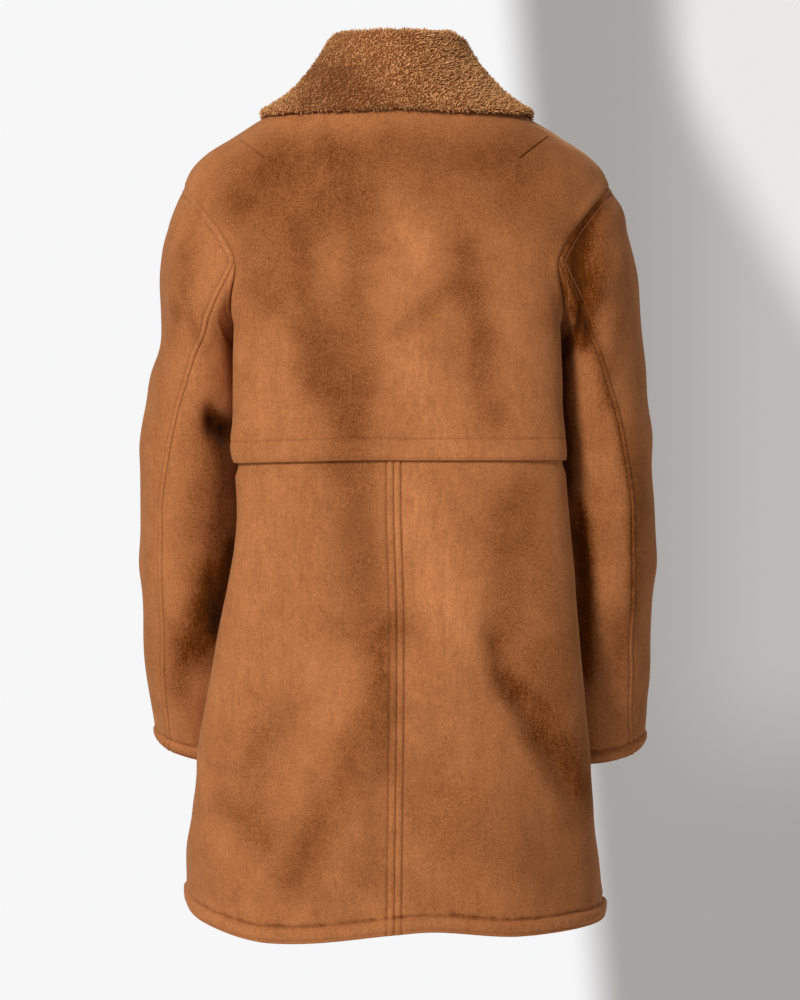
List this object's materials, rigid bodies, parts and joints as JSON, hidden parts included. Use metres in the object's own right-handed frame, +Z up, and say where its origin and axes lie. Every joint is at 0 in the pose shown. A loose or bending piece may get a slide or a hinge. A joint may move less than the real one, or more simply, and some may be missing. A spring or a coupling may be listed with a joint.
{
  "type": "faux shearling coat",
  "caption": "Mid-length faux shearling coat in its worn shape: lapped back yoke, centre back seam, long two-piece sleeves, turned hem and cuffs, buttoned front and fleece collar.",
  "frame": {"origin": "where the wearer's neck and shoulders carry the coat: on the middle line, level with the back neck seam", "axes": "+Z up, the coat's front faces -Y and its back +Y, the wearer's left is +X"},
  "size_m": [0.5322, 0.3412, 0.9143],
  "materials": {
    "suede": "matt napped faux suede with a fleece back",
    "fleece": "curly faux shearling pile",
    "horn": "polished dark horn effect"
  },
  "bodies": {
    "root": {"back_yoke": "suede", "back_lower_left": "suede", "back_lower_right": "suede", "front_left": "suede", "front_right": "suede", "sleeve_left_upper": "suede", "sleeve_left_under": "suede", "sleeve_right_upper": "suede", "sleeve_right_under": "suede", "collar_under": "suede", "collar_fleece": "fleece", "button_1": "horn", "button_2": "horn", "button_3": "horn", "button_4": "horn"}
  },
  "joints": []
}
